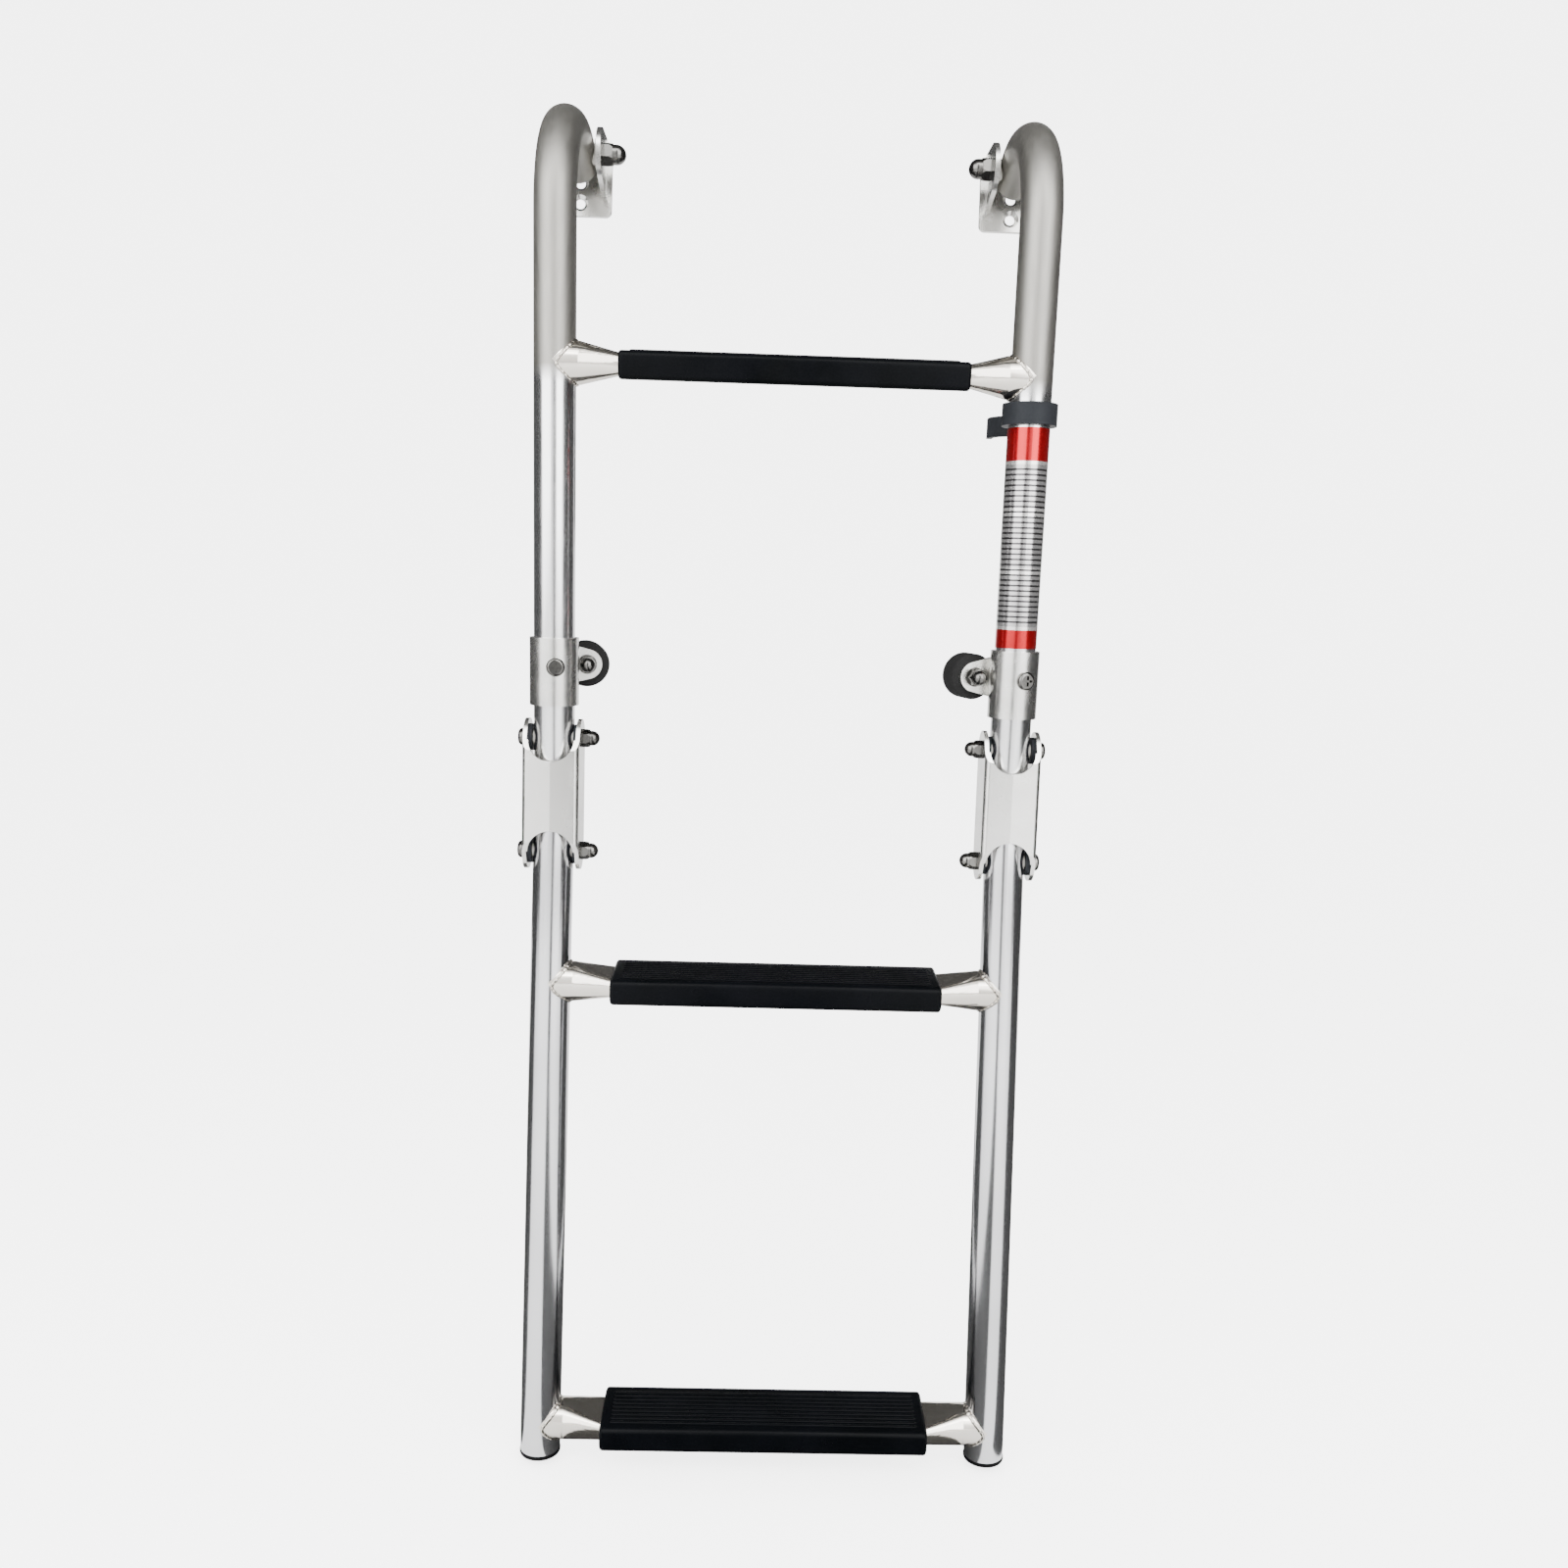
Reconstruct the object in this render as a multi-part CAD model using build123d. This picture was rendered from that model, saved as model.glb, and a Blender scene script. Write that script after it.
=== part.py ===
from build123d import *
import os
from math import cos, radians, sin

os.makedirs("parts", exist_ok=True)

# Folding boat boarding ladder, as the climber sees it: +X right, +Y into the hull, +Z up.
# The origin is on the hull surface, midway between the brackets, level with their pivot bolts.
# The upper frame hooks over to the brackets.  Two channel links join it to the lower frame,
# which folds forward and up until it stands in front of the upper frame.

# ---- driving dimensions, millimetres and degrees
tube_od = 25.4                  # one inch stainless tube
tube_wall = 1.5
stile_spacing = 289.0           # between the stile axes
upper_lean = 7.4                # the upper frame's top leans away from the hull
link_lean = 4.5
link_pivots = 72.0              # between a link's two pivots
stub = 14.0                     # tube beyond a link pivot

rung_height = 228.0             # top rung above the upper link pivot
hook_start = 317.0              # where the hook's bend starts, above the upper link pivot
hook_radius = 60.0
hook_angle = 110.0
hook_bolt_offset = 5.0          # from the end of the bend to the bracket bolt
hook_tail = 11.5                # tube beyond the bracket bolt

middle_drop = 84.0              # middle tread below the lower link pivot
tread_spacing = 285.5           # middle tread to bottom tread
foot_drop = 19.5                # tube end below the bottom tread

tread_length = 209.0            # plastic cover
tread_depth = 44.0
tread_thickness = 16.6
tread_tilt = 9.0                # front edge down, so a tread is level when the ladder leans
flat_width = 31.0               # pressed tube under the cover
flat_thickness = 13.0
flat_corner = 5.0
flat_half_length = 105.0
round_start = 129.0             # half length at which the pressed tube is round again
rib_pitch = 3.6
rib_width = 1.8
rib_height = 0.7
cover_slot = 9.0                # the cover snaps on over this gap underneath
cover_screw_x = 70.0
cover_screw_y = 9.0
cover_screw_proud = 0.15         # the flat heads stand this far out of the cover

ear_gap = 30.4                  # inside a hinge link
link_wall = 2.5
link_web_gap = 0.7              # between the tube and the web, which is the stop
link_ear_radius = 12.0
link_ear_back = 11.0
link_notch = 14.3
link_corner = 3.5
link_ridge = 1.2                # the web is pressed to a shallow ridge

bracket_standoff = 25.0         # hull surface to the bracket bolt
bracket_width = 42.0
bracket_above = 20.0
bracket_below = 31.0
bracket_plate = 3.0
bracket_ear = 3.0
bracket_ear_gap = 29.2
bracket_ear_root = 38.0
bracket_nose = 16.0
bracket_corner = 4.0
bracket_hole = 6.5
bracket_sink = 11.0
bracket_hole_drops = (9.0, 22.5)
bracket_tilt = {"left": 0.0, "right": 0.0}

clamp_height = 45.5             # clamp screw and bumper above the upper link pivot
clamp_band = 42.0
band_drop = 3.5                 # the band's middle is this far below its screw
clamp_sheet = 2.55
clamp_turn = {"left": 11.0, "right": 17.0}
tab_reach = 21.0                # stile axis to the bumper stud
tab_radius = 9.5
tab_flare = 12.5                # half of the tab's height where it leaves the band
bumper_radius = 14.5
bumper_length = 16.0

clip_height = 206.3             # clip centre above the upper link pivot
clip_tall = 13.0
clip_wall = 4.0
clip_arm = 9.0
clip_jaw_wall = 3.6
clip_jaw_bore = 13.1
clip_jaw_lead = 5.0
clip_rest = 3.0                 # the cradle rests pointing at the hull, turned this far outwards
ring_clearance = 0.1

label_bottom = 65.0             # above the upper link pivot
label_top = 198.3
label_film = 0.2
label_wrap = 330.0

running = 0.05                  # radial clearance of a pin in its bush
side_gap = 0.3                  # between a tube and the thrust washers beside it

# fasteners: shank diameter, width across flats, nut height, hex height, head diameter, head height
m6 = dict(d=6.0, flats=10.0, tall=11.0, hex=5.0, head=11.0, head_tall=3.4)
m8 = dict(d=8.0, flats=13.0, tall=15.0, hex=6.5, head=15.0, head_tall=4.4)

sides = {"left": -1, "right": 1}
tube_r = tube_od / 2
half = stile_spacing / 2


# ---- frames of reference: local x across, y towards the hull, z up along the member
def tilted(origin, lean):
    return Plane(origin=origin, x_dir=(1, 0, 0), z_dir=(0, -sin(radians(lean)), cos(radians(lean))))


bend_end = Vector(0, hook_radius * (1 - cos(radians(hook_angle))),
                  hook_start + hook_radius * sin(radians(hook_angle)))
tail_direction = Vector(0, sin(radians(hook_angle)), cos(radians(hook_angle)))
hook_bolt = bend_end + tail_direction * hook_bolt_offset

bolt_axis = Vector(0, -bracket_standoff, 0)
upper_pivot = bolt_axis - tilted((0, 0, 0), upper_lean).from_local_coords(hook_bolt)
upper = tilted(upper_pivot, upper_lean)
lower_pivot = upper_pivot - tilted((0, 0, 0), link_lean).z_dir * link_pivots
link = tilted(lower_pivot, link_lean)
lower = tilted(lower_pivot, 0)


# ---- helpers
def along_x(shape, direction=1):
    """Turn a shape made along +Z so that it runs along +X or -X."""
    return Rot(0, 90 * direction, 0) * shape


def along_y(shape, direction=1):
    """Turn a shape made along +Z so that it runs along +Y or -Y."""
    return Rot(-90 * direction, 0, 0) * shape


def rod(radius, length, start=0.0):
    return Pos(0, 0, start) * Cylinder(radius, length, align=(Align.CENTER, Align.CENTER, Align.MIN))


def ring(outer, inner, length, start=0.0):
    return rod(outer, length, start) - rod(inner, length + 2, start - 1)


def hull_plate(circle, corners, thickness):
    """A flat plate round a circle (x, y, radius) and corner points, drawn in XY, centred in Z."""
    with BuildSketch() as outline:
        with BuildLine():
            CenterArc((circle[0], circle[1]), circle[2], 0, 360)
            Polyline(*corners, close=True)
        make_hull()
    return extrude(outline.sketch, thickness / 2, both=True)


def acorn_nut(size):
    """Domed cap nut, seat at z = 0, blind thread for the end of the bolt."""
    flats, dome_r = size["flats"], size["flats"] * 0.47
    body = extrude(RegularPolygon(flats / 2, 6, major_radius=False), size["hex"])
    body = body & Pos(0, 0, -0.01) * Cone(flats * 0.66, flats * 0.53, size["hex"] + 0.02,
                                          align=(Align.CENTER, Align.CENTER, Align.MIN))
    dome = rod(dome_r, size["tall"] - dome_r) + Pos(0, 0, size["tall"] - dome_r) * Sphere(dome_r)
    dome -= Pos(0, 0, -2 * dome_r) * Box(3 * dome_r, 3 * dome_r, 4 * dome_r)
    return body + dome - rod(size["d"] / 2, size["tall"] * 0.68, -0.01)


def domed_bolt(size, grip):
    """Low domed head seated at z = 0 and a shank that reaches down by grip plus the nut's thread."""
    head = rod(size["head"] / 2, size["head_tall"])
    head = fillet(head.edges().sort_by(Axis.Z)[-1], size["head_tall"] * 0.7)
    head -= Pos(0, 0, size["head_tall"] - 1.8) * extrude(RegularPolygon(size["d"] * 0.3, 6), 3)
    length = grip + size["tall"] * 0.66
    return head + rod(size["d"] / 2, length, -length)


def pan_screw(diameter, head, head_tall, length):
    cap = rod(head / 2, head_tall)
    cap = fillet(cap.edges().sort_by(Axis.Z)[-1], head_tall * 0.6)
    for turn in (0, 90):
        cap -= Pos(0, 0, head_tall - 0.6) * Rot(0, 0, turn) * Box(head * 0.55, head * 0.12, 2.4)
    return cap + rod(diameter / 2, length, -length)


def cross_pin_hole(radius):
    return along_x(Cylinder(radius, 2 * tube_od))


# ---- stiles
bush_r = 5.0
hook_bush_r = 6.5
clamp_screw_d = 4.8


def hook_rod(radius, extra=0.0):
    """The path of an upper stile as a solid rod; extra lengthens both ends."""
    leg = rod(radius, hook_start + stub + extra, -stub - extra)
    bend_axis = Axis((0, hook_radius, hook_start), (-1, 0, 0))
    bend = revolve(Pos(0, 0, hook_start) * Circle(radius), bend_axis, revolution_arc=hook_angle)
    tail_plane = Plane(origin=bend_end, x_dir=(1, 0, 0), z_dir=tail_direction)
    tail = tail_plane.location * rod(radius, hook_bolt_offset + hook_tail + extra)
    return leg + bend + tail


def clamp_location(side):
    return Pos(sides[side] * half, 0, clamp_height) * Rot(0, 0, clamp_turn[side])


def upper_stile(side):
    at_stile = Pos(sides[side] * half, 0, 0)
    tube = at_stile * (hook_rod(tube_r) - hook_rod(tube_r - tube_wall, 1.0))
    tube -= at_stile * cross_pin_hole(bush_r)
    tube -= at_stile * Pos(hook_bolt) * cross_pin_hole(hook_bush_r)
    tube -= clamp_location(side) * along_y(rod(clamp_screw_d / 2, 20), -1)
    return upper.location * tube


def lower_stile(side):
    length = middle_drop + tread_spacing + foot_drop
    tube = ring(tube_r, tube_r - tube_wall, length + stub, -length)
    tube -= cross_pin_hole(bush_r)
    return lower.location * Pos(sides[side] * half, 0, 0) * tube


def bush(outer, pin):
    return along_x(ring(outer, pin / 2 + running, tube_od, -tube_r))


# ---- treads: a tube pressed flat under a snap-on plastic cover
def round_section(x, radius):
    """A circle of eight arcs, in the plane across the tread at x."""
    def at(angle):
        return (x, radius * cos(radians(angle)), radius * sin(radians(angle)))
    ends = (22, 68, 112, 158, 202, 248, 292, 338, 382)
    arcs = [ThreePointArc(at(a), at((a + b) / 2), at(b)) for a, b in zip(ends, ends[1:])]
    return Face(Wire(arcs))


def flat_section(x, width, thickness, corner):
    """A rounded rectangle of four lines and four arcs, in the plane across the tread at x."""
    w, t = width / 2 - corner, thickness / 2 - corner
    k = corner * sin(radians(45))
    edges = []
    for a, b in ((1, 1), (-1, 1), (-1, -1), (1, -1)):
        side_point, flat_point = (x, a * (w + corner), b * t), (x, a * w, b * (t + corner))
        first, last = (side_point, flat_point) if a * b > 0 else (flat_point, side_point)
        edges.append(ThreePointArc(first, (x, a * (w + k), b * (t + k)), last))
        following = (x, -a * w, b * (t + corner)) if a * b > 0 else (x, a * (w + corner), -b * t)
        edges.append(Line(last, following))
    return Face(Wire(edges))


def pressed_rod(inset):
    """The pressed tube as a solid, made smaller by inset all round."""
    flat = (flat_width - 2 * inset, flat_thickness - 2 * inset, flat_corner - inset)
    middle = extrude(flat_section(-flat_half_length, *flat), 2 * flat_half_length, (1, 0, 0))
    whole = middle
    for end in (-1, 1):
        taper = loft([flat_section(end * flat_half_length, *flat),
                      round_section(end * round_start, tube_r - inset)], ruled=True)
        end_run = extrude(round_section(end * round_start, tube_r - inset), half - round_start, (end, 0, 0))
        whole = whole + taper + end_run
    return whole


def cover_screw_places():
    return [Pos(x, cover_screw_y, -tread_thickness / 2 - cover_screw_proud) * Rot(180, 0, 0)
            for x in (-cover_screw_x, cover_screw_x)]


cover_screw = dict(diameter=3.5, head=7.0, length=4.4)


def screw_head():
    """The cone of a flat head, its wide end at the origin."""
    narrow, wide = cover_screw["diameter"] / 2, cover_screw["head"] / 2
    return Cone(narrow, wide, wide - narrow, align=(Align.CENTER, Align.CENTER, Align.MAX))


def tread_tube():
    tube = pressed_rod(0) - pressed_rod(tube_wall)
    for end in (-half, half):
        tube -= Pos(end, 0, 0) * Rot(-tread_tilt, 0, 0) * Cylinder(tube_r, 60)
    for place in cover_screw_places():
        tube -= place * Cylinder(cover_screw["diameter"] / 2, 2 * cover_screw["length"])
    return tube


def tread_cover():
    with BuildSketch(Plane.YZ) as section:
        Rectangle(tread_depth, tread_thickness)
        fillet(section.vertices(), 3.2)
        ribs = int((tread_depth - 8) / rib_pitch)
        first = -(ribs - 1) * rib_pitch / 2
        with Locations([(first + i * rib_pitch, tread_thickness / 2) for i in range(ribs)]):
            Rectangle(rib_width, 2 * rib_height)
        RectangleRounded(flat_width, flat_thickness, flat_corner, mode=Mode.SUBTRACT)
        with Locations((0, -tread_thickness / 2)):
            Rectangle(cover_slot, tread_thickness, mode=Mode.SUBTRACT)
    cover = extrude(section.sketch, tread_length / 2, both=True)
    for place in cover_screw_places():
        cover -= place * Cylinder(cover_screw["diameter"] / 2, 2 * cover_screw["length"])
        cover -= place * screw_head()
    return cover


def tread_screws():
    screw = screw_head() + rod(cover_screw["diameter"] / 2, cover_screw["length"], -cover_screw["length"])
    for turn in (0, 90):
        screw -= Rot(0, 0, turn) * Box(3.6, 0.8, 1.6)
    return [place * screw for place in cover_screw_places()]


# ---- hinge links and their pivots
link_outer = ear_gap / 2 + link_wall
web_front = tube_r + link_web_gap + link_wall


def link_profile(reach, front, back):
    """A channel's outline: square sides, and a web with a pressed ridge down its middle."""
    with BuildSketch() as outline:
        with BuildLine():
            Polyline((-reach, back), (-reach, front), (0, front - link_ridge), (reach, front), (reach, back),
                     close=True)
        make_face()
    return outline.sketch


def hinge_link(side):
    """U channel, web towards the climber, open towards the hull; z = 0 at the lower pivot."""
    with BuildSketch() as section:
        add(link_profile(link_outer, -web_front, link_ear_back + 1))
        fillet(section.vertices().sort_by(Axis.Y)[1:3], link_corner)
        add(link_profile(ear_gap / 2, link_wall - web_front, link_ear_back + 2), mode=Mode.SUBTRACT)
    reach = link_pivots + 2 * link_ear_radius
    channel = Pos(0, 0, -link_ear_radius) * extrude(section.sketch, reach)
    with BuildSketch(Plane.YZ) as outline:
        with BuildLine():
            for z in (0, link_pivots):
                CenterArc((0, z), link_ear_radius, 0, 360)
            front, back = -web_front - link_ridge, link_ear_back
            Polyline((front, 9), (back, 12), (back, link_pivots - 12), (front, link_pivots - 9), close=True)
        make_hull()
    channel &= extrude(outline.sketch, 2 * link_outer, both=True)
    for z in (0, link_pivots):
        channel -= Pos(0, -web_front, z) * along_y(Cylinder(link_notch, 2 * link_wall + 3))
        channel -= Pos(0, 0, z) * cross_pin_hole(m6["d"] / 2)
        beyond = -1 if z == 0 else 1
        blank = Box(ear_gap, 3 * link_wall, 2 * link_ear_radius)
        channel -= Pos(0, -web_front, z + beyond * link_ear_radius) * blank
    return link.location * Pos(sides[side] * half, 0, 0) * channel


def hinge_places():
    """The four pivots: where they are, and which way is outwards."""
    places = []
    for side in sides.values():
        for z in (0, link_pivots):
            places.append((link.location * Pos(side * half, 0, z), side))
    return places


hinge_washer_tall = 1.2
thrust_start = tube_r + side_gap


def hinge_bolt(place, side):
    grip = hinge_washer_tall + 2 * link_outer
    return place * along_x(Pos(0, 0, link_outer + hinge_washer_tall) * domed_bolt(m6, grip), side)


def hinge_nut(place, side):
    return place * along_x(Pos(0, 0, link_outer) * acorn_nut(m6), -side)


def hinge_washer(place, side):
    return place * along_x(ring(6.4, 3.2, hinge_washer_tall, link_outer), side)


def thrust_washers(place):
    washer = ring(8.5, 3.1, ear_gap / 2 - thrust_start, thrust_start)
    return [place * along_x(washer, direction) for direction in (-1, 1)]


# ---- mounting brackets
def bracket_place(side):
    return Pos(sides[side] * half, -bracket_standoff, 0) * Rot(bracket_tilt[side], 0, 0)


def mount_bracket(side):
    """Base plate with two ears, its bolt axis through the local origin."""
    with BuildSketch(Plane.XZ) as outline:
        with Locations((0, (bracket_above - bracket_below) / 2)):
            Rectangle(bracket_width, bracket_above + bracket_below)
        fillet(outline.vertices(), bracket_corner)
    plate = Pos(0, bracket_standoff, 0) * extrude(outline.sketch, bracket_plate)
    root = bracket_ear_root / 2
    front = bracket_standoff - bracket_plate
    ear = hull_plate((0, 0, bracket_nose), [(front - 1, -root), (front + 1, -root),
                                            (front + 1, root), (front - 1, root)], bracket_ear)
    for direction in (-1, 1):
        turned = Plane.YZ.location * ear
        plate += Pos(direction * (bracket_ear_gap + bracket_ear) / 2, 0, 0) * turned
    plate -= along_x(Cylinder(m8["d"] / 2 + 0.2, 2 * bracket_width))
    for drop in bracket_hole_drops:
        at_hole = Pos(0, bracket_standoff, -drop)
        plate -= at_hole * along_y(Cylinder(bracket_hole / 2, 4 * bracket_plate))
        sink = (bracket_sink - bracket_hole) / 2
        cone = Cone(bracket_hole / 2, bracket_sink / 2, sink, align=(Align.CENTER, Align.CENTER, Align.MAX))
        plate -= at_hole * Pos(0, -bracket_plate, 0) * along_y(cone, -1)
    return bracket_place(side) * plate


bracket_outer = bracket_ear_gap / 2 + bracket_ear
bracket_washer_tall = 1.6


def bracket_bolt(side):
    grip = bracket_washer_tall + 2 * bracket_outer
    bolt = Pos(0, 0, bracket_outer + bracket_washer_tall) * domed_bolt(m8, grip)
    return bracket_place(side) * along_x(bolt, sides[side])


def bracket_nut(side):
    return bracket_place(side) * along_x(Pos(0, 0, bracket_outer) * acorn_nut(m8), -sides[side])


def bracket_washer(side):
    return bracket_place(side) * along_x(ring(8.5, 4.2, bracket_washer_tall, bracket_outer), sides[side])


def bracket_thrust_washers(side):
    washer = ring(9.5, 4.1, bracket_ear_gap / 2 - thrust_start, thrust_start)
    return [bracket_place(side) * along_x(washer, direction) for direction in (-1, 1)]


# ---- standoff clamps and bumpers, drawn with the tab towards +x, the bumper towards +y
def clamp_shape(side, shape):
    """Mirror for the right side, then turn round the stile and set at the clamp's height."""
    if side == "right":
        shape = mirror(shape, Plane.YZ)
    return upper.location * clamp_location(side) * shape


def standoff_clamp():
    band = ring(tube_r + clamp_sheet, tube_r, clamp_band, -clamp_band / 2 - band_drop)
    root = [(4, -tab_flare), (10, -tab_flare), (10, tab_flare), (4, tab_flare)]
    tab = hull_plate((tab_reach, 0, tab_radius), root, clamp_sheet)
    tab = Pos(0, tube_r + clamp_sheet / 2, 0) * Rot(90, 0, 0) * tab
    shape = band + tab
    shape -= Pos(tab_reach, tube_r, 0) * along_y(Cylinder(m6["d"] / 2, 3 * clamp_sheet))
    shape -= Pos(0, -tube_r, 0) * along_y(Cylinder(clamp_screw_d / 2, 3 * clamp_sheet))
    return shape


def clamp_screw():
    screw = pan_screw(clamp_screw_d, 11.5, 3.2, 7.5)
    return Pos(0, -tube_r - clamp_sheet, 0) * along_y(screw, -1)


bumper_start = tube_r + clamp_sheet
stud_head = dict(radius=7.0, tall=3.0, sunk=8.0)
stud_washer_tall = 1.0


def bumper_stud():
    """Carriage stud: the head is moulded into the rubber, the shank goes forward through the tab."""
    head_at = bumper_start + stud_head["sunk"]
    shank = head_at - tube_r + stud_washer_tall + m6["tall"] * 0.66
    stud = rod(stud_head["radius"], stud_head["tall"]) + rod(m6["d"] / 2, shank, -shank)
    return Pos(tab_reach, head_at, 0) * along_y(stud)


def bumper():
    puck = rod(bumper_radius, bumper_length)
    puck = fillet(puck.edges().sort_by(Axis.Z)[-1], 2.5)
    puck = Pos(tab_reach, bumper_start, 0) * along_y(puck)
    return puck - bumper_stud()


def stud_nut():
    return Pos(tab_reach, tube_r - stud_washer_tall, 0) * along_y(acorn_nut(m6), -1)


def stud_washer():
    return Pos(tab_reach, tube_r, 0) * along_y(ring(6.2, 3.1, stud_washer_tall), -1)


# ---- retaining clip, label, caps
def retaining_clip():
    """A ring that turns on the right stile, with a cradle that holds the folded lower stile."""
    bore = tube_r + ring_clearance
    jaw_outer = clip_jaw_bore + clip_jaw_wall
    with BuildSketch() as outline:
        Circle(bore + clip_wall)
        with Locations((0, link_pivots)):
            Circle(jaw_outer)
        with Locations((0, link_pivots + clip_jaw_lead / 2)):
            Rectangle(2 * jaw_outer, clip_jaw_lead)
        with Locations((0, link_pivots / 2)):
            Rectangle(clip_arm, link_pivots)
        with Locations((0, link_pivots + clip_jaw_lead + 15)):
            Rectangle(3 * jaw_outer, 30, mode=Mode.SUBTRACT)
        with Locations((0, link_pivots)):
            Circle(clip_jaw_bore, mode=Mode.SUBTRACT)
        with Locations((0, link_pivots + jaw_outer)):
            Rectangle(2 * clip_jaw_bore, 2 * jaw_outer, mode=Mode.SUBTRACT)
        Circle(bore, mode=Mode.SUBTRACT)
    clip = extrude(outline.sketch, clip_tall / 2, both=True)
    return upper.location * Pos(half, 0, clip_height) * Rot(0, 0, -clip_rest) * clip


def label():
    """Thin film round the right stile, open along the hull side."""
    film = ring(tube_r + label_film, tube_r, label_top - label_bottom, label_bottom)
    gap = tube_od * radians(360 - label_wrap) / 2
    film -= Pos(0, tube_r, (label_top + label_bottom) / 2) * Box(gap, 6, 2 * label_top)
    return upper.location * Pos(half, 0, 0) * film


def end_plug(flange_radius, flange, stem):
    """Plastic plug: the flange below z = 0 closes the tube, the stem goes up inside it."""
    plug = rod(flange_radius, flange, -flange)
    plug = fillet(plug.edges().sort_by(Axis.Z)[0], flange * 0.6)
    return plug + rod(tube_r - tube_wall, stem)


def foot_cap(side):
    foot = middle_drop + tread_spacing + foot_drop
    return lower.location * Pos(sides[side] * half, 0, -foot) * end_plug(tube_r + 0.3, 3.0, 14.0)


def tail_plug(side):
    tail_end = hook_bolt + tail_direction * hook_tail
    facing = Plane(origin=tail_end, x_dir=(1, 0, 0), z_dir=-tail_direction)
    return upper.location * Pos(sides[side] * half, 0, 0) * facing.location * end_plug(tube_r, 2.0, 3.5)


# ---- write every node
def write(name, *shapes):
    solids = [solid for shape in shapes for solid in shape.solids()]
    export_step(Compound(children=solids) if len(solids) > 1 else solids[0], f"parts/{name}.step")


lower_pair = middle_drop + tread_spacing
treads = {"top_rung": upper.location * Pos(0, 0, rung_height) * Rot(tread_tilt, 0, 0),
          "middle_tread": lower.location * Pos(0, 0, -middle_drop) * Rot(tread_tilt, 0, 0),
          "bottom_tread": lower.location * Pos(0, 0, -lower_pair) * Rot(tread_tilt, 0, 0)}
tube_shape, cover_shape, screw_shapes = tread_tube(), tread_cover(), tread_screws()
for name, place in treads.items():
    write(f"{name}_tube", place * tube_shape)
    write(f"{name}_cover", place * cover_shape)
    write(f"{name}_screws", *[place * screw for screw in screw_shapes])

for side in sides:
    write(f"{side}_upper_stile", upper_stile(side))
    write(f"{side}_lower_stile", lower_stile(side))
    write(f"{side}_hinge_link", hinge_link(side))
    write(f"{side}_foot_cap", foot_cap(side))
    write(f"{side}_tail_plug", tail_plug(side))
    write(f"{side}_standoff_clamp", clamp_shape(side, standoff_clamp()))
    write(f"{side}_bumper", clamp_shape(side, bumper()))
    write(f"{side}_mount_bracket", mount_bracket(side))
    write(f"{side}_bracket_bolt", bracket_bolt(side))
    write(f"{side}_bracket_nut", bracket_nut(side))
    write(f"{side}_bracket_washer", bracket_washer(side))
    write(f"{side}_bracket_thrust_washers", *bracket_thrust_washers(side))

write("clamp_screws", *[clamp_shape(side, clamp_screw()) for side in sides])
write("bumper_studs", *[clamp_shape(side, bumper_stud()) for side in sides])
write("bumper_nuts", *[clamp_shape(side, stud_nut()) for side in sides])
write("bumper_washers", *[clamp_shape(side, stud_washer()) for side in sides])

write("hinge_bolts", *[hinge_bolt(place, side) for place, side in hinge_places()])
write("hinge_nuts", *[hinge_nut(place, side) for place, side in hinge_places()])
write("hinge_washers", *[hinge_washer(place, side) for place, side in hinge_places()])
write("hinge_thrust_washers", *[w for place, _ in hinge_places() for w in thrust_washers(place)])

stile_places = [Pos(direction * half, 0, 0) for direction in sides.values()]
write("upper_hinge_bushes", *[upper.location * place * bush(bush_r, m6["d"]) for place in stile_places])
write("lower_hinge_bushes", *[lower.location * place * bush(bush_r, m6["d"]) for place in stile_places])
write("hook_bushes", *[upper.location * place * Pos(hook_bolt) * bush(hook_bush_r, m8["d"])
                       for place in stile_places])
write("retaining_clip", retaining_clip())
write("stile_label", label())
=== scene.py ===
from math import cos, pi, radians, sin, sqrt

import bpy
from mathutils import Matrix, Vector


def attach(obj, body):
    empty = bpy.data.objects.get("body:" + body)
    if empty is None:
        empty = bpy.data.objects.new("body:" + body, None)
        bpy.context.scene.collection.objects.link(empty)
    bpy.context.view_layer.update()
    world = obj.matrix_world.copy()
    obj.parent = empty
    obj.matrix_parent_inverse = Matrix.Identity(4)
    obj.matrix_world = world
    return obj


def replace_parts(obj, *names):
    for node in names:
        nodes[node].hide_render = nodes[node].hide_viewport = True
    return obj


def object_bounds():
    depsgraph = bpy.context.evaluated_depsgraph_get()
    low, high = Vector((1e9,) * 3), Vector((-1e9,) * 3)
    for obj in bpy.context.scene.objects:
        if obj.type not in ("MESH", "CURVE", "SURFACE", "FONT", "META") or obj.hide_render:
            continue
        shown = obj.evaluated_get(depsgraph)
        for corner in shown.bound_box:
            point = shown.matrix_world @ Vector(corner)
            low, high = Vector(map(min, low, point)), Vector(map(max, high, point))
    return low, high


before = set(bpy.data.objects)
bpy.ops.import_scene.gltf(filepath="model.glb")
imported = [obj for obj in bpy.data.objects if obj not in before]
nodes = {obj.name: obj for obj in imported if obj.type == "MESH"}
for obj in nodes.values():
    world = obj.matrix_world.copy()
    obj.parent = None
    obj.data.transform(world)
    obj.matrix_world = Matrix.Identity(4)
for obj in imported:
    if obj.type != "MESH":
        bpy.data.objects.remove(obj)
cad_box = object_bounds()

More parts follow.
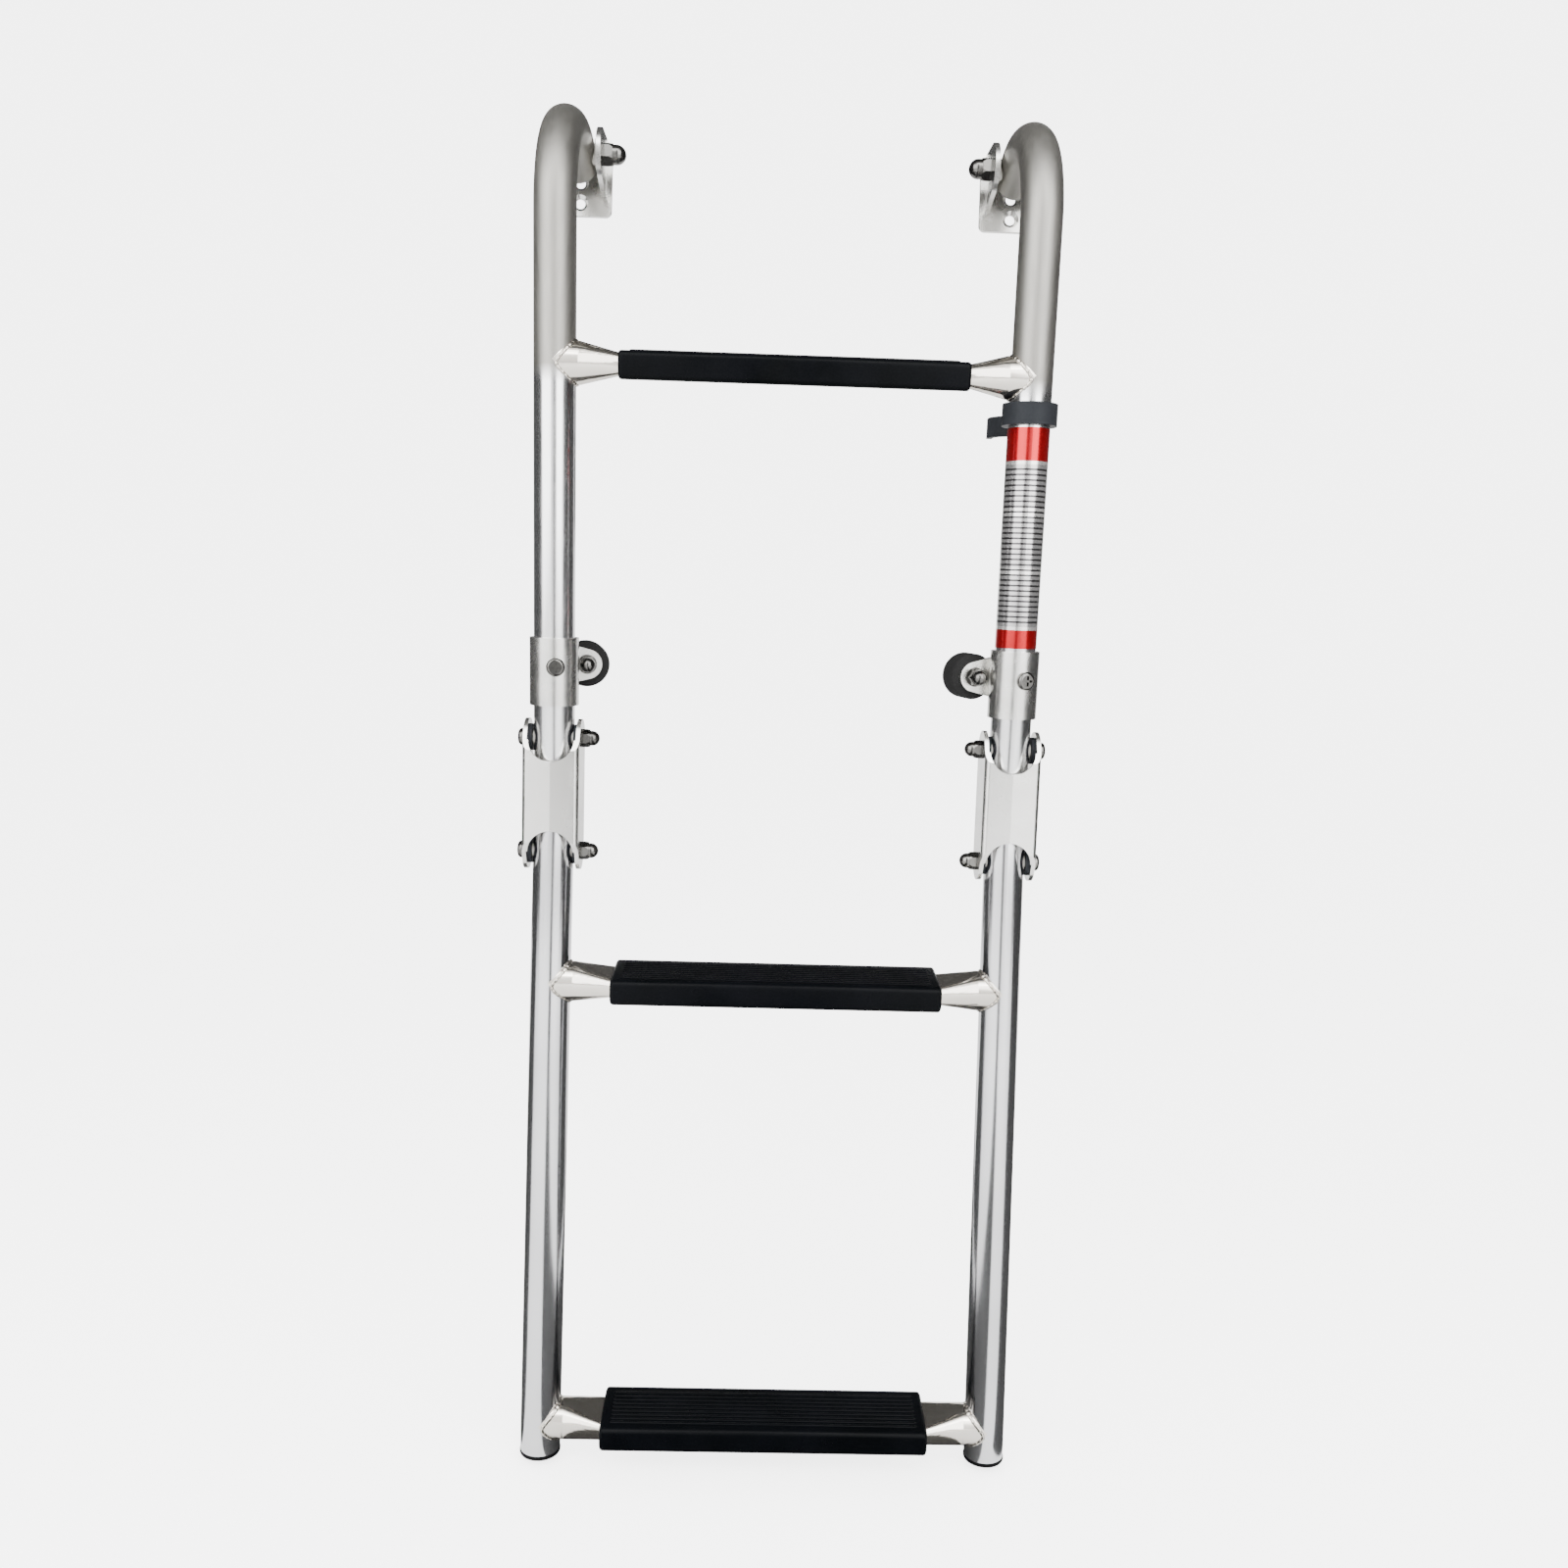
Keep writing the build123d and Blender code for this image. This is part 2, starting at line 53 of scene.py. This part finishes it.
# ---- the ladder's places and sizes, metres
STILE_X = 0.1445
TUBE_R = 0.0127
UPPER_LEAN = radians(7.4)
UPPER_PIVOT = Vector((0, -0.061640, -0.379552))
LOWER_PIVOT = Vector((0, -0.055991, -0.451330))
UP = Vector((0, -sin(UPPER_LEAN), cos(UPPER_LEAN)))  # along the upper stiles
TREAD_TILT = radians(9)
TREAD_LENGTH, TREAD_DEPTH, TREAD_TALL = 0.209, 0.044, 0.0166
FLAT_WIDTH, FLAT_TALL, FLAT_CORNER = 0.031, 0.013, 0.005  # the pressed tube inside a cover
RUNG_HEIGHT = 0.228  # above the upper pivot, along the stiles
SATIN_HEIGHT = 0.222  # where the polish ends, measured the same way
LABEL_HEIGHT, LABEL_LENGTH = 0.065, 0.1333

SIDES = {"left": -1, "right": 1}
TREADS = {  # its body, its middle, and its lean with the frame that holds it
    "top_rung": ("upper_frame", UPPER_PIVOT + UP * RUNG_HEIGHT, UPPER_LEAN),
    "middle_tread": ("lower_frame", LOWER_PIVOT - Vector((0, 0, 0.084)), 0.0),
    "bottom_tread": ("lower_frame", LOWER_PIVOT - Vector((0, 0, 0.3695)), 0.0),
}

# ---- materials
NOISE_LOW, NOISE_HIGH = 0.3, 0.7  # the range that most of a noise texture's values lie in
GRAIN_DEPTH = 0.0002  # metres, for every bump
FINE_EDGE = 0.0006  # metres, the rounding that the bevel shader draws on moulded edges


def linear(value):
    """An sRGB value from 0 to 255 as linear light from 0 to 1."""
    value /= 255
    return value / 12.92 if value <= 0.04045 else ((value + 0.055) / 1.055) ** 2.4


def rgb(r, g, b):
    return (linear(r), linear(g), linear(b), 1.0)


def grey(value):
    return rgb(value, value, value)


class Finish:
    """A Principled material with helpers that hang nodes on it."""

    def __init__(self, name, color, metallic, roughness):
        self.material = bpy.data.materials.new(name)
        self.material.use_nodes = True
        self.tree = self.material.node_tree
        self.shader = self.tree.nodes["Principled BSDF"]
        self.shader.inputs["Base Color"].default_value = color
        self.shader.inputs["Metallic"].default_value = metallic
        self.shader.inputs["Roughness"].default_value = roughness
        self.place = self.tree.nodes.new("ShaderNodeTexCoord").outputs["Object"]

    def node(self, kind, **settings):
        new = self.tree.nodes.new("ShaderNode" + kind)
        for key, value in settings.items():
            setattr(new, key, value)
        return new

    def link(self, source, target):
        self.tree.links.new(source, target)

    def noise(self, scale, stretch=(1, 1, 1), detail=3.0, rough=0.5):
        mapping = self.node("Mapping")
        mapping.inputs["Scale"].default_value = stretch
        self.link(self.place, mapping.inputs["Vector"])
        texture = self.node("TexNoise")
        texture.inputs["Scale"].default_value = scale
        texture.inputs["Detail"].default_value = detail
        texture.inputs["Roughness"].default_value = rough
        self.link(mapping.outputs["Vector"], texture.inputs["Vector"])
        return texture.outputs["Fac"]

    def spread(self, source, low, high, from_low=NOISE_LOW, from_high=NOISE_HIGH):
        """The source's range, from from_low to from_high, spread over low to high."""
        span = self.node("MapRange")
        span.inputs["From Min"].default_value = from_low
        span.inputs["From Max"].default_value = from_high
        span.inputs["To Min"].default_value = low
        span.inputs["To Max"].default_value = high
        self.link(source, span.inputs["Value"])
        return span.outputs["Result"]

    def roughen(self, source, low, high):
        self.link(self.spread(source, low, high), self.shader.inputs["Roughness"])

    def tint(self, source, first, second):
        ramp = self.node("ValToRGB")
        start, end = ramp.color_ramp.elements
        start.position, start.color = NOISE_LOW, first
        end.position, end.color = NOISE_HIGH, second
        self.link(source, ramp.inputs["Fac"])
        self.link(ramp.outputs["Color"], self.shader.inputs["Base Color"])

    def height(self, direction, low, high):
        """0 to 1 as a place's distance along a direction goes from low to high."""
        along = self.node("VectorMath", operation="DOT_PRODUCT")
        self.link(self.place, along.inputs[0])
        along.inputs[1].default_value = direction
        return self.spread(along.outputs["Value"], 0, 1, low, high)

    def math(self, operation, *values):
        result = self.node("Math", operation=operation)
        for socket, value in zip(result.inputs, values):
            if isinstance(value, float):
                socket.default_value = value
            else:
                self.link(value, socket)
        return result.outputs["Value"]

    def glow(self, strength):
        self.shader.inputs["Emission Color"].default_value = (1, 1, 1, 1)
        self.shader.inputs["Emission Strength"].default_value = strength

    def bump(self, source, strength, edge=0.0):
        bump = self.node("Bump")
        bump.inputs["Strength"].default_value = strength
        bump.inputs["Distance"].default_value = GRAIN_DEPTH
        self.link(source, bump.inputs["Height"])
        if edge:
            bevel = self.node("Bevel", samples=4)
            bevel.inputs["Radius"].default_value = edge
            self.link(bevel.outputs["Normal"], bump.inputs["Normal"])
        self.link(bump.outputs["Normal"], self.shader.inputs["Normal"])


def steel(name, light, dark, smooth, rough, brushed, strength=0.05):
    """Stainless steel: drawn lines along one direction, and soft uneven polish."""
    finish = Finish(name, light, 1.0, smooth)
    finish.tint(finish.noise(9, detail=4), light, dark)
    finish.roughen(finish.noise(24, brushed, detail=5), smooth, rough)
    finish.bump(finish.noise(60, brushed, detail=4, rough=0.6), strength)
    return finish.material


def stile_steel():
    """Satin from the top rung up, and polished below it."""
    polished_color, satin_color = rgb(232, 232, 233), rgb(150, 148, 143)
    polished_rough, satin_rougher = 0.2, 0.27
    finish = Finish("upper_stile_steel", polished_color, 1.0, 0.1)
    change = UPPER_PIVOT.dot(UP) + SATIN_HEIGHT
    satin = finish.height(UP, change - 0.007, change + 0.004)
    grain = finish.noise(24, along_z, detail=5)
    shade = finish.math("ADD", satin, finish.spread(finish.noise(7, detail=4), -0.06, 0.06))
    ramp = finish.node("ValToRGB")
    ramp.color_ramp.elements[0].color = polished_color
    ramp.color_ramp.elements[1].color = satin_color
    finish.link(shade, ramp.inputs["Fac"])
    finish.link(ramp.outputs["Color"], finish.shader.inputs["Base Color"])
    base = finish.math("MULTIPLY_ADD", satin, satin_rougher, polished_rough)
    rough = finish.math("ADD", base, finish.spread(grain, -0.03, 0.05))
    finish.link(rough, finish.shader.inputs["Roughness"])
    finish.bump(finish.noise(60, along_z, detail=4, rough=0.6), 0.06)
    return finish.material


along_z, along_x = (14, 14, 0.5), (0.5, 14, 14)
polished = steel("polished_stile", rgb(234, 234, 236), rgb(214, 214, 216), 0.13, 0.2, along_z)
polished_tread = steel("polished_tread_tube", rgb(236, 231, 222), rgb(210, 204, 194), 0.09, 0.16,
                       along_x)
satin_stile = stile_steel()
sheet = steel("formed_sheet", rgb(238, 237, 234), rgb(218, 217, 213), 0.2, 0.3, (3, 3, 3), 0.02)
# the fasteners are darker than real steel, to come out as dark as they should in this studio
fastener = steel("fastener_steel", rgb(120, 119, 116), rgb(88, 87, 85), 0.14, 0.22, (4, 4, 4), 0.02)
weld = steel("weld_bead", rgb(214, 209, 200), rgb(182, 176, 166), 0.18, 0.3, (5, 5, 5), 0.1)


def plastic(name, first, second, smooth, rough, grain, strength, edge=0.0, gloss=0.05):
    """Moulded plastic or rubber: fine grain, and a little unevenness in the colour."""
    finish = Finish(name, first, 0.0, smooth)
    finish.shader.inputs["Specular IOR Level"].default_value = gloss
    finish.tint(finish.noise(30, detail=4), first, second)
    finish.roughen(finish.noise(55), smooth, rough)
    finish.bump(finish.noise(grain, detail=2), strength, edge)
    return finish.material


tread_black = plastic("tread_plastic", rgb(6, 7, 10), rgb(3, 4, 5), 0.26, 0.4, 900, 0.3)
cap_black = plastic("cap_plastic", rgb(9, 9, 10), rgb(5, 5, 6), 0.34, 0.46, 900, 0.2, FINE_EDGE)
nylon = plastic("washer_nylon", rgb(190, 188, 182), rgb(172, 170, 164), 0.45, 0.6, 700, 0.15,
                FINE_EDGE / 2, 0.4)
rubber = plastic("bumper_rubber", grey(32), grey(22), 0.6, 0.8, 650, 0.5, FINE_EDGE)
plug_grey = plastic("tail_plug_plastic", rgb(122, 122, 118), rgb(104, 104, 100), 0.45, 0.6, 800,
                    0.2, gloss=0.3)
# the retaining clip's own dark grey nylon; the same dark grey is also painted on the hinge thrust
# washers as painted shade in the hinge notches
clip_grey_and_notch_shade = plastic("clip_nylon", rgb(39, 41, 44), rgb(29, 30, 33), 0.36, 0.5, 800, 0.25, FINE_EDGE)


def label_material():
    """Metallised film: a red band at each end and plain fine rules on silver between them."""
    finish = Finish("label_film", rgb(206, 204, 204), 0.85, 0.2)
    finish.shader.inputs["Coat Weight"].default_value = 0.3
    finish.shader.inputs["Coat Roughness"].default_value = 0.08
    bottom = UPPER_PIVOT.dot(UP) + LABEL_HEIGHT
    height = finish.height(UP, bottom, bottom + LABEL_LENGTH)
    red, silver, pale = rgb(182, 24, 32), rgb(184, 182, 182), rgb(228, 226, 224)
    bands = [(0.0, red), (0.084, pale), (0.1, silver), (0.33, pale), (0.37, silver), (0.6, pale),
             (0.64, silver), (0.83, pale), (0.85, red)]
    ramp = finish.node("ValToRGB")
    ramp.color_ramp.interpolation = "CONSTANT"
    elements = ramp.color_ramp.elements
    for index, (position, color) in enumerate(bands):
        element = elements[index] if index < 2 else elements.new(position)
        element.position, element.color = position, color
    finish.link(height, ramp.inputs["Fac"])
    rule_count, rule_share = 42.0, 0.36
    rules_middle, rules_reach = 0.475, 0.36
    phase = finish.math("FRACT", finish.math("MULTIPLY", height, rule_count))
    from_middle = finish.math("ABSOLUTE", finish.math("SUBTRACT", height, rules_middle))
    rule = finish.math("MULTIPLY", finish.math("LESS_THAN", phase, rule_share),
                       finish.math("LESS_THAN", from_middle, rules_reach))
    mix = finish.node("Mix", data_type="RGBA")
    factor, first, second, mixed = mix.inputs[0], mix.inputs[6], mix.inputs[7], mix.outputs[2]
    second.default_value = rgb(62, 60, 62)
    finish.link(rule, factor)
    finish.link(ramp.outputs["Color"], first)
    finish.link(mixed, finish.shader.inputs["Base Color"])
    finish.roughen(finish.noise(40), 0.14, 0.26)
    return finish.material


label_film = label_material()


def paint(material, *names):
    for name in names:
        mesh = nodes[name].data
        mesh.materials.clear()
        mesh.materials.append(material)


for side in SIDES:
    paint(satin_stile, f"{side}_upper_stile")
    paint(polished, f"{side}_lower_stile")
    paint(sheet, f"{side}_standoff_clamp", f"{side}_hinge_link", f"{side}_mount_bracket")
    paint(cap_black, f"{side}_foot_cap")
    paint(plug_grey, f"{side}_tail_plug")
    paint(rubber, f"{side}_bumper")
    paint(fastener, f"{side}_bracket_bolt", f"{side}_bracket_nut", f"{side}_bracket_washer")
    paint(nylon, f"{side}_bracket_thrust_washers")
for tread in TREADS:
    paint(polished_tread, f"{tread}_tube")
    paint(tread_black, f"{tread}_cover")
    paint(fastener, f"{tread}_screws")
paint(fastener, "clamp_screws", "bumper_studs", "bumper_nuts", "bumper_washers")
paint(fastener, "hinge_bolts", "hinge_nuts", "hinge_washers")
paint(nylon, "upper_hinge_bushes", "lower_hinge_bushes", "hook_bushes")
# painted shade: the hinge thrust washers take the clip's dark grey so that they stand for the shade
# inside the hinge link's notches
paint(clip_grey_and_notch_shade, "retaining_clip", "hinge_thrust_washers")
paint(label_film, "stile_label")


# ---- helpers for new pieces
def mesh_piece(name, points, faces, material, body, place):
    """A smooth mesh that rides on a body; place carries its points into the frame."""
    data = bpy.data.meshes.new(name)
    data.from_pydata([tuple(p) for p in points], [], faces)
    data.transform(place)
    data.update()
    data.shade_smooth()
    data.materials.append(material)
    piece = bpy.data.objects.new(name, data)
    bpy.context.scene.collection.objects.link(piece)
    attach(piece, body)
    return piece


def grid_faces(rings, count, closed_rings=False, closed_round=True):
    """Quads between successive rings of count points."""
    faces = []
    for i in range(rings if closed_rings else rings - 1):
        for j in range(count if closed_round else count - 1):
            a, b = i * count + j, i * count + (j + 1) % count
            c, d = (i + 1) % rings * count + (j + 1) % count, (i + 1) % rings * count + j
            faces.append((a, b, c, d))
    return faces


def smooth_by_angle(piece, degrees):
    piece.data.set_sharp_from_angle(angle=radians(degrees))


# ---- weld beads where a tread tube meets a stile
def weld_bead(name, body, place, side):
    """A rippled bead along the saddle curve; place puts the stile's frame at the tread's height."""
    count, around = 176, 10
    radius, wider, flatter = 0.0009, 1.25, 0.8
    lift, loosen = 0.0003, 1.02  # how far the bead's middle stands off the stile and the tread
    blunt = 0.2  # rounds off the saddle's two points, front and back
    centers = []
    for i in range(count):
        angle = 2 * pi * i / count
        y, z = TUBE_R * cos(angle), TUBE_R * sin(angle)
        inward = sqrt((TUBE_R * sin(angle)) ** 2 + (blunt * TUBE_R) ** 2)
        point = Vector((side * (STILE_X - inward - lift), y * loosen, z * loosen))
        centers.append(Matrix.Rotation(TREAD_TILT, 4, "X") @ point)
    points = []
    for i, center in enumerate(centers):
        along = (centers[(i + 1) % count] - centers[i - 1]).normalized()
        outward = Vector((-side * 0.6, center.y / TUBE_R, center.z / TUBE_R)).normalized()
        across = along.cross(outward).normalized()
        outward = across.cross(along)
        # two ripples of different lengths, so that the bead looks hand laid
        swell = radius * (1 + 0.13 * sin(2 * pi * i / 5.5) + 0.06 * sin(i * 1.7))
        for j in range(around):
            turn = 2 * pi * j / around
            offset = across * cos(turn) * wider + outward * sin(turn) * flatter
            points.append(center + offset * swell)
    mesh_piece(name, points, grid_faces(count, around, True), weld, body, place)


for tread, (body, origin, lean) in TREADS.items():
    place = Matrix.Translation(origin) @ Matrix.Rotation(lean, 4, "X")
    for side, sign in SIDES.items():
        weld_bead(f"{tread}_{side}_weld", body, place, sign)


# ---- tread covers: a snapped-on C section with rounded ends and raised grip ribs
def c_outline(width, tall, corner, slot):
    """An open path round the tread, from one edge of the slot under it to the other."""
    w, t, steps = width / 2, tall / 2, 8
    path = [(slot / 2, -t)]
    for cx, cy, start in ((w - corner, -t + corner, -90), (w - corner, t - corner, 0),
                          (-w + corner, t - corner, 90), (-w + corner, -t + corner, 180)):
        for i in range(steps + 1):
            angle = radians(start + 90 * i / steps)
            path.append((cx + corner * cos(angle), cy + corner * sin(angle)))
    path.append((-slot / 2, -t))
    return path


def cover_shell(name, body, place):
    """The snapped-on shell: its ends are rounded over, and a gap runs along underneath."""
    gap, corner, end_round, steps = 0.009, 0.0034, 0.0022, 6
    stations = []
    for i in range(steps + 1):
        angle = pi / 2 * i / steps
        inset = end_round * (1 - cos(angle))
        stations.append((TREAD_LENGTH / 2 - end_round * (1 - sin(angle)), inset))
    rows = [(-x, inset) for x, inset in reversed(stations)] + stations
    inner = c_outline(FLAT_WIDTH, FLAT_TALL, FLAT_CORNER, gap)
    count = len(inner)
    points = []
    for x, inset in rows:
        outer = c_outline(TREAD_DEPTH - 2 * inset, TREAD_TALL - 2 * inset, corner, gap)
        points += [(x, a, b) for a, b in outer]
    faces = grid_faces(len(rows), count, closed_round=False)
    # the bore, the two end walls, and the two edges of the gap
    base, last = len(points), (len(rows) - 1) * count
    for x in (rows[0][0], rows[-1][0]):
        points += [(x, a, b) for a, b in inner]
    for j in range(count - 1):
        faces.append((base + j + 1, base + j, base + count + j, base + count + j + 1))
        faces.append((j + 1, j, base + j, base + j + 1))
        faces.append((last + j, last + j + 1, base + count + j + 1, base + count + j))
    faces.append((*(i * count for i in range(len(rows))), base + count, base))
    edge = count - 1
    outer_edge = (i * count + edge for i in reversed(range(len(rows))))
    faces.append((base + edge, base + count + edge, *outer_edge))
    shell = mesh_piece(name, points, faces, tread_black, body, place)
    smooth_by_angle(shell, 35)
    return shell


def grip_rib(y, points, faces):
    """One low rib along the tread's top, with rounded ends."""
    start, around = len(points), 7
    end_gap, half_width, tall, sunk = 0.0062, 0.00095, 0.0007, 0.0001
    reach = TREAD_LENGTH / 2 - end_gap
    rows = [(-reach, 0.15), (-reach + 0.0005, 0.65), (-reach + 0.0014, 1.0),  # x, share of the size
            (reach - 0.0014, 1.0), (reach - 0.0005, 0.65), (reach, 0.15)]
    for x, grow in rows:
        for j in range(around):
            turn = pi * j / (around - 1)
            points.append((x, y + half_width * cos(turn) * (0.4 + 0.6 * grow),
                           TREAD_TALL / 2 - sunk + tall * sin(turn) * grow))
    for i in range(len(rows) - 1):
        for j in range(around - 1):
            a = start + i * around + j
            faces.append((a, a + around, a + around + 1, a + 1))
    faces.append(tuple(start + j for j in range(around)))
    faces.append(tuple(start + (len(rows) - 1) * around + j for j in reversed(range(around))))


def cover_ribs(name, body, place):
    rib_count, pitch = 9, 0.0036
    points, faces = [], []
    for i in range(rib_count):
        grip_rib((i - rib_count // 2) * pitch, points, faces)
    ribs = mesh_piece(name, points, faces, tread_black, body, place)
    smooth_by_angle(ribs, 40)


for tread, (body, origin, lean) in TREADS.items():
    place = Matrix.Translation(origin) @ Matrix.Rotation(lean + TREAD_TILT, 4, "X")
    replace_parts(cover_shell(f"{tread}_shell", body, place), f"{tread}_cover")
    cover_ribs(f"{tread}_ribs", body, place)


# ---- floor and backdrop: they glow for the camera only, so the metal never reflects the glow
FLOOR_Z = cad_box[0].z - 0.004
CAMERA_GLOW = 3.4


def stage_piece(name, points, faces, finish):
    mesh = bpy.data.meshes.new(name)
    mesh.from_pydata(points, [], faces)
    mesh.materials.append(finish.material)
    piece = bpy.data.objects.new(name, mesh)
    bpy.context.scene.collection.objects.link(piece)
    return piece


def floor_sheet(name, drop, shade, glow):
    reach, level = 8, FLOOR_Z - drop
    finish = Finish(name, grey(shade), 0.0, 0.7)
    finish.roughen(finish.noise(2), 0.65, 0.75)
    finish.glow(glow)
    corners = ((-reach, -reach), (reach, -reach), (reach, reach), (-reach, reach))
    return stage_piece(name, [(x, y, level) for x, y in corners], [(0, 1, 2, 3)], finish)


floor = floor_sheet("floor", 0.0, 250, CAMERA_GLOW)
floor.visible_diffuse = floor.visible_glossy = False
floor_sheet("floor_reflected", 0.002, 240, 0.0).visible_camera = False


def backdrop():
    """A wide white drum round the stage, with a lid, which only the camera sees."""
    around, radius, top = 48, 7.5, 9.0
    angles = [2 * pi * i / around for i in range(around)]
    points = [(radius * cos(a), radius * sin(a), z) for z in (FLOOR_Z, top) for a in angles]
    faces = grid_faces(2, around) + [tuple(range(around, 2 * around))]
    finish = Finish("backdrop", grey(250), 0.0, 0.9)
    finish.roughen(finish.noise(2), 0.85, 0.95)
    finish.glow(CAMERA_GLOW)
    drum = stage_piece("backdrop", points, faces, finish)
    drum.visible_diffuse = drum.visible_glossy = drum.visible_shadow = False


backdrop()

# ---- light
world = bpy.data.worlds.new("studio")
world.use_nodes = True
world.node_tree.nodes["Background"].inputs["Color"].default_value = (1, 1, 1, 1)
world.node_tree.nodes["Background"].inputs["Strength"].default_value = 2.0
bpy.context.scene.world = world


def area_light(name, place, target, width, height, power):
    data = bpy.data.lights.new(name, "AREA")
    data.shape = "RECTANGLE"
    data.size, data.size_y, data.energy = width, height, power
    light = bpy.data.objects.new(name, data)
    light.location = place
    light.rotation_mode = "QUATERNION"
    light.rotation_quaternion = (Vector(target) - Vector(place)).to_track_quat("-Z", "Y")
    bpy.context.scene.collection.objects.link(light)


area_light("front_left", (-1.3, -1.6, 0.35), (0, 0, -0.45), 1.9, 1.9, 56)
area_light("front_right", (1.05, -1.75, 0.3), (0, 0, -0.45), 1.3, 1.9, 44)
area_light("overhead", (0, -1.75, 1.3), (0, -0.1, -0.4), 1.4, 0.9, 24)


# ---- dark cards, which make the dark stripes in the polished steel
def dark_card(name, points, shade, faces=((0, 1, 2, 3),)):
    """A dark card that only gloss sees."""
    finish = Finish(name, grey(shade), 0.0, 0.9)
    finish.roughen(finish.noise(3), 0.85, 0.95)
    card = stage_piece(name, points, faces, finish)
    card.visible_camera = card.visible_diffuse = card.visible_shadow = False


def curved_card(name, start, end, shade):
    """An upright card between two azimuths, degrees to the right of the front."""
    steps, distance, top, points = 12, 2.2, 2.5, []
    for i in range(steps + 1):
        azimuth = radians(start + (end - start) * i / steps)
        x, y = distance * sin(azimuth), -distance * cos(azimuth)
        points += [(x, y, FLOOR_Z), (x, y, top)]
    faces = [(2 * i, 2 * i + 2, 2 * i + 3, 2 * i + 1) for i in range(steps)]
    dark_card(name, points, shade, faces)


def flat_card(name, left, right, first, second, shade):
    """A straight card from one edge to another, each of them a y and a z."""
    dark_card(name, [(left, *first), (right, *first), (right, *second), (left, *second)], shade)


def floor_card(name, corners, shade):
    """A card lying on the floor."""
    dark_card(name, [(x, y, FLOOR_Z + 0.001) for x, y in corners], shade)


curved_card("card_left", -152, -64, 45)
curved_card("card_right", 50, 138, 40)
flat_card("card_front", -0.14, 0.08, (-0.97, FLOOR_Z), (-0.97, 0.6), 100)
flat_card("card_above", -1.6, 1.6, (-0.95, 1.6), (2.1, 0.9), 55)
flat_card("card_behind", -1.6, 1.6, (2.1, 0.9), (2.3, 0.1), 50)
floor_card("floor_card_middle", [(-0.132, -0.95), (0.132, -0.95), (0.132, 0.9), (-0.132, 0.9)], 40)
floor_card("floor_card_left", [(-0.17, -0.05), (-0.17, 0.4), (-2.2, 1.6), (-2.2, -0.3)], 40)
floor_card("floor_card_right", [(0.17, -0.09), (2.2, -1.0), (2.2, 1.6), (0.17, 0.4)], 40)

# ---- camera: its place from the lower pivot line, and the three directions of its picture
camera_data = bpy.data.cameras.new("camera")
camera_data.sensor_width = 36
camera_data.lens = 29.11
camera_data.clip_start = 0.05
camera = bpy.data.objects.new("camera", camera_data)
camera_place = LOWER_PIVOT + Vector((-0.01709, -0.81106, 0.07554))
right = Vector((0.99935, -0.02205, 0.02851))
down = Vector((0.02768, -0.03702, -0.99893))
ahead = Vector((0.02308, 0.99907, -0.03639))
turn = Matrix((right, -down, -ahead)).transposed().to_4x4()
camera.matrix_world = Matrix.Translation(camera_place) @ turn
bpy.context.scene.collection.objects.link(camera)
bpy.context.scene.camera = camera
